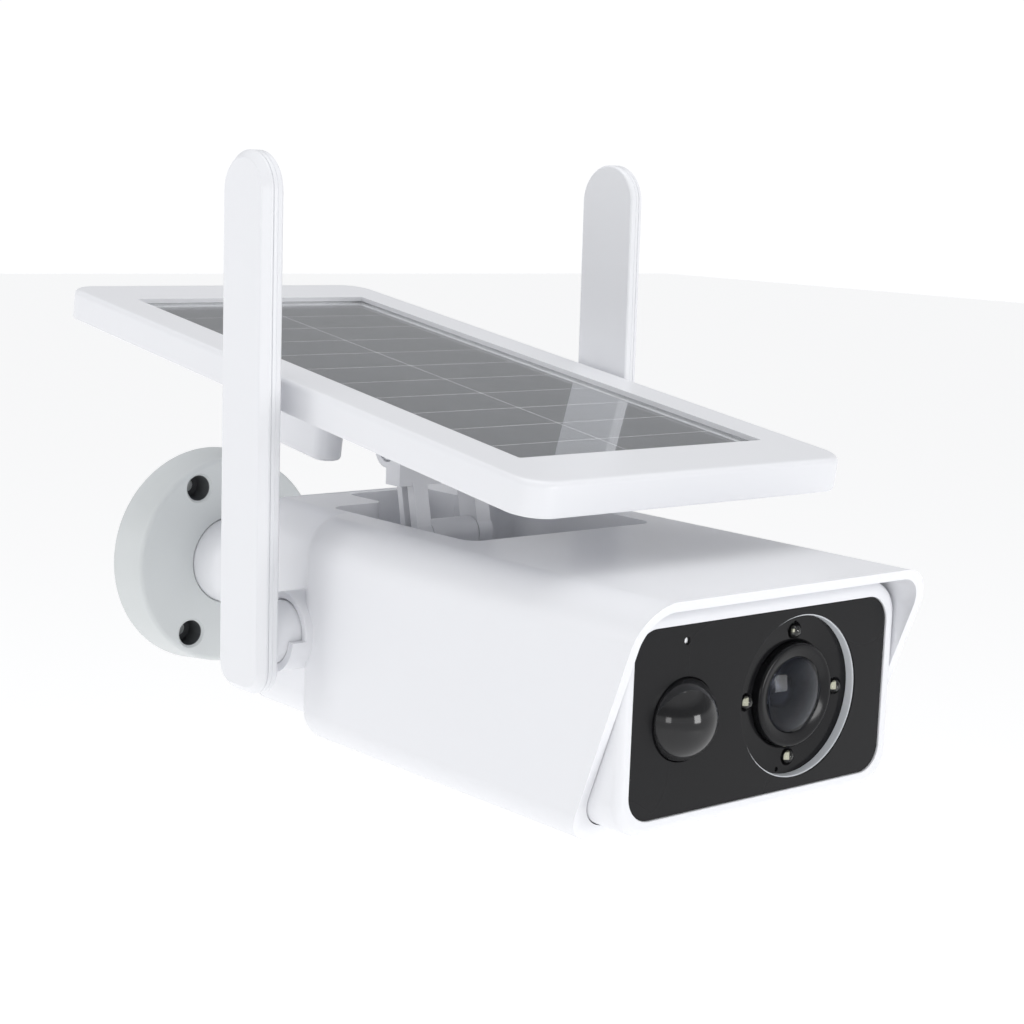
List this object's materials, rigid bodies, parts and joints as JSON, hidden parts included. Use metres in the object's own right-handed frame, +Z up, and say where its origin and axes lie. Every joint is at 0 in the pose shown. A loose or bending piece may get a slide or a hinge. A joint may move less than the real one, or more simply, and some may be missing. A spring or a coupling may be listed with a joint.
{
  "type": "solar-powered security camera",
  "caption": "Box-shaped outdoor camera with a slanted hood, a tilting solar panel on top, turning paddle antennas, a motion sensor and a swivelling wall bracket.",
  "frame": {"origin": "centre of the wall plate's back face, on the bracket's axis", "axes": "+Y into the wall, -Y the way the camera looks, +Z up, +X to the right seen from the front"},
  "size_m": [0.147, 0.2865, 0.1828],
  "materials": {
    "painted_metal": "satin painted cast metal",
    "steel": "plain steel",
    "brass": "turned brass",
    "white_plastic": "fine satin moulded plastic",
    "black_plastic": "gloss black",
    "clear_edge": "polished edge",
    "lens_glass": "coated lens glass",
    "panel_glass": "low-iron solar glass",
    "solar_cell": "grey-black silicon cells",
    "smoked_lens": "smoked translucent lens",
    "circuit_board": "solder mask",
    "lamp_resin": "clear resin lamp",
    "dark_plastic": "matt black",
    "cell_wrap": "shrink sleeve",
    "red_plastic": "moulded",
    "white_rubber": "soft white rubber",
    "copper": "bare copper strip"
  },
  "bodies": {
    "wall_plate": {"wall_plate": "painted_metal", "clamp_ring": "steel", "clamp_screws": "steel"},
    "dome": {"swivel_dome": "white_plastic", "pivot_bolt": "steel"},
    "neck": {"neck_arm": "white_plastic", "neck_stud": "steel", "jam_nut": "steel"},
    "camera": {"outer_shell": "white_plastic", "core_housing": "white_plastic", "rear_cap": "white_plastic", "rear_screws": "steel", "stud_insert": "brass", "front_bezel": "white_plastic", "front_plate": "black_plastic", "lens_ring": "clear_edge", "lens_dish": "black_plastic", "lens_barrel": "black_plastic", "front_lens": "lens_glass", "rear_lenses": "lens_glass", "lens_holder": "black_plastic", "sensor_board": "circuit_board", "led_lamps": "lamp_resin", "led_board": "circuit_board", "pir_lens": "smoked_lens", "pir_sensor": "steel", "microphone": "dark_plastic", "main_board": "circuit_board", "speaker": "dark_plastic", "battery_cells": "cell_wrap", "battery_tray": "dark_plastic", "port_board": "circuit_board", "port_plate": "dark_plastic", "usb_socket": "steel", "card_slot": "steel", "cover_pin": "steel", "arm_base": "white_plastic", "arm_base_screws": "steel", "arm_pin": "steel"},
    "power_button": {"power_button": "dark_plastic"},
    "reset_button": {"reset_button": "red_plastic"},
    "port_cover": {"port_cover": "white_rubber"},
    "arm": {"panel_arm": "white_plastic", "tilt_bolt": "steel", "tilt_nut": "steel"},
    "panel": {"panel_bracket": "white_plastic", "bracket_screws": "steel", "panel_frame": "white_plastic", "panel_glass": "panel_glass", "solar_cells": "solar_cell", "panel_back": "white_plastic", "junction_box": "white_plastic"},
    "left_antenna": {"left_antenna_front": "white_plastic", "left_antenna_back": "white_plastic", "left_antenna_strip": "copper", "left_antenna_screw": "steel"},
    "right_antenna": {"right_antenna_front": "white_plastic", "right_antenna_back": "white_plastic", "right_antenna_strip": "copper", "right_antenna_screw": "steel"}
  },
  "joints": [
    {"name": "dome_swivel", "type": "hinge", "parent": "wall_plate", "child": "dome", "pos_m": [0, -0.025, 0], "axis": [0, 1, 0], "range_deg": [-180, 180]},
    {"name": "neck_tilt", "type": "hinge", "parent": "dome", "child": "neck", "pos_m": [0, -0.025, 0], "axis": [1, 0, 0], "range_deg": [0, 45]},
    {"name": "camera_spin", "type": "hinge", "parent": "neck", "child": "camera", "pos_m": [0, -0.1, 0], "axis": [0, 1, 0], "range_deg": [-180, 180]},
    {"name": "arm_fold", "type": "hinge", "parent": "camera", "child": "arm", "pos_m": [0, -0.1396, 0.0285], "axis": [1, 0, 0], "range_deg": [0, 6]},
    {"name": "panel_tilt", "type": "hinge", "parent": "arm", "child": "panel", "pos_m": [0, -0.133, 0.0555], "axis": [-1, 0, 0], "range_deg": [-6, 15]},
    {"name": "left_antenna_turn", "type": "hinge", "parent": "camera", "child": "left_antenna", "pos_m": [-0.06, -0.135, 0.003], "axis": [1, 0, 0], "range_deg": [-70, 90]},
    {"name": "right_antenna_turn", "type": "hinge", "parent": "camera", "child": "right_antenna", "pos_m": [0.06, -0.135, 0.003], "axis": [1, 0, 0], "range_deg": [-70, 90]},
    {"name": "power_press", "type": "slide", "parent": "camera", "child": "power_button", "axis": [0, 0, 1], "range_m": [0, 0.0006], "stiffness_N_per_m": 900},
    {"name": "reset_press", "type": "slide", "parent": "camera", "child": "reset_button", "axis": [0, 0, 1], "range_m": [0, 0.0006], "stiffness_N_per_m": 900},
    {"name": "port_cover_turn", "type": "hinge", "parent": "camera", "child": "port_cover", "pos_m": [0, -0.2374, -0.0283], "axis": [1, 0, 0], "range_deg": [0, 95]}
  ]
}
